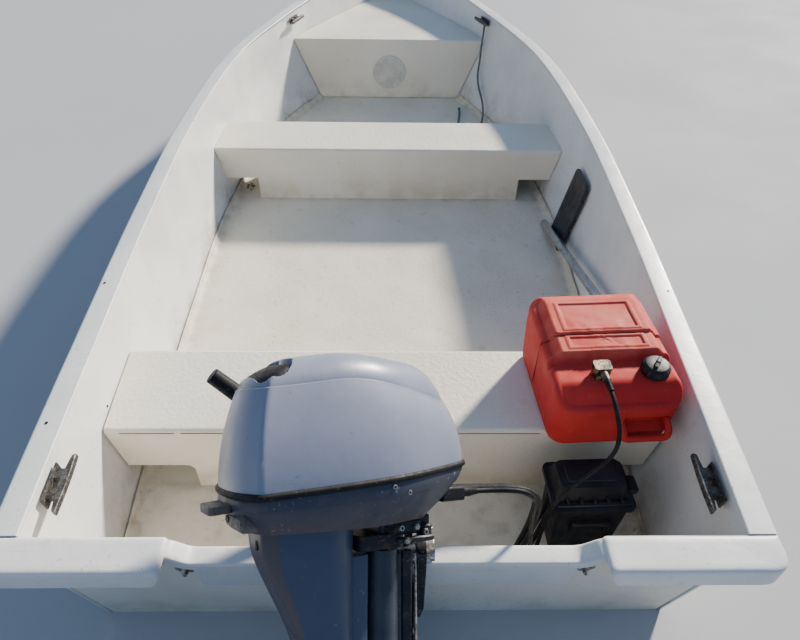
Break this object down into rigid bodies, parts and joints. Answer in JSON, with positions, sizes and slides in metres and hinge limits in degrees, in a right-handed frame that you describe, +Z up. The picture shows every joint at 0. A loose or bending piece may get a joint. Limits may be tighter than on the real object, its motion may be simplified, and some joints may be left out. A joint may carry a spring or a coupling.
{
  "type": "open rowing boat with outboard motor",
  "caption": "Open moulded rowing boat with thwarts, bow bench and an outboard motor tilted up on its transom, with fuel tank and battery box.",
  "frame": {"origin": "on the waterline, on the centreline, midway between the stern rail and the point of the bow", "axes": "+X to starboard, +Y towards the bow, +Z up"},
  "size_m": [1.6168, 4.8086, 0.9096],
  "materials": {
    "gelcoat_white": "worn gelcoat",
    "gelcoat_inside": "worn painted moulding",
    "plate_plastic": "weathered",
    "dark_fittings": "dark weathered metal",
    "brass_plug": "dull",
    "motor_dark": "semi gloss blue grey",
    "motor_grey": "semi gloss light blue grey",
    "motor_zinc": "corroded",
    "bare_metal": "satin",
    "engine_metal": "rough",
    "black_rubber": "matt",
    "latch_metal": "worn",
    "black_plastic": "faded",
    "propeller_paint": "worn paint",
    "tank_red": "sun faded",
    "pole_aluminium": "dull",
    "cord_black": "semi matt",
    "rope_grey": "weathered"
  },
  "bodies": {
    "hull": {"hull_shell": "gelcoat_white", "keel_batten": "gelcoat_white", "stem": "gelcoat_white", "gunwale_port": "gelcoat_white", "gunwale_starboard": "gelcoat_white", "bow_cap": "gelcoat_white", "transom": "gelcoat_white", "motor_pad": "gelcoat_white", "transom_cap_port": "gelcoat_white", "transom_cap_starboard": "gelcoat_white", "cockpit_sole": "gelcoat_inside", "stern_thwart": "gelcoat_inside", "mid_thwart": "gelcoat_inside", "bow_bench": "gelcoat_inside", "inspection_ring": "plate_plastic", "inspection_lid": "plate_plastic", "cleat_stern_port": "dark_fittings", "cleat_stern_starboard": "dark_fittings", "cleat_bow_port": "dark_fittings", "cleat_bow_starboard": "dark_fittings", "stern_eye_port": "dark_fittings", "stern_eye_starboard": "dark_fittings", "bow_eye": "dark_fittings", "clamp_screw_port": "dark_fittings", "clamp_screw_starboard": "dark_fittings", "drain_plug": "brass_plug", "clamp_bracket_port": "motor_dark", "clamp_bracket_starboard": "motor_dark", "tilt_tube": "bare_metal", "tank_cap": "black_plastic", "tank_fitting": "black_plastic", "battery_box": "black_plastic", "battery_lid": "black_plastic", "blade": "black_plastic", "fuel_tank": "tank_red", "pole": "pole_aluminium", "fuel_hose": "cord_black", "battery_cable_aft": "cord_black", "battery_cable_fore": "cord_black", "mooring_rope": "rope_grey"},
    "swivel": {"swivel_bracket": "motor_dark"},
    "motor": {"steering_yokes": "motor_dark", "tiller_bracket": "motor_dark", "tiller_arm": "motor_grey", "throttle_grip": "black_rubber", "leg": "motor_dark", "gearcase": "motor_dark", "trim_tab": "motor_zinc", "upper_cowl": "motor_grey", "cowl_seal": "black_rubber", "lower_cowl": "motor_dark", "engine_block": "engine_metal", "cowl_latch": "latch_metal", "fuel_coupling": "black_plastic", "cable_socket": "black_plastic", "fuel_hose_motor": "cord_black", "battery_cable_aft_motor": "cord_black", "battery_cable_fore_motor": "cord_black"},
    "propeller": {"propeller": "propeller_paint"}
  },
  "joints": [
    {"name": "motor_tilt", "type": "hinge", "parent": "hull", "child": "swivel", "pos_m": [-0.009, -2.0245, 0.366], "axis": [-1, 0, 0], "range_deg": [-50, 15]},
    {"name": "motor_steer", "type": "hinge", "parent": "swivel", "child": "motor", "pos_m": [-0.009, -2.06596, 0.41541], "axis": [0, 0.766, 0.6428], "range_deg": [0, 120]},
    {"name": "propeller_spin", "type": "hinge", "parent": "motor", "child": "propeller", "pos_m": [-0.18221, -2.632, 0.07099], "axis": [0.866, 0.3214, -0.383], "continuous": true}
  ]
}
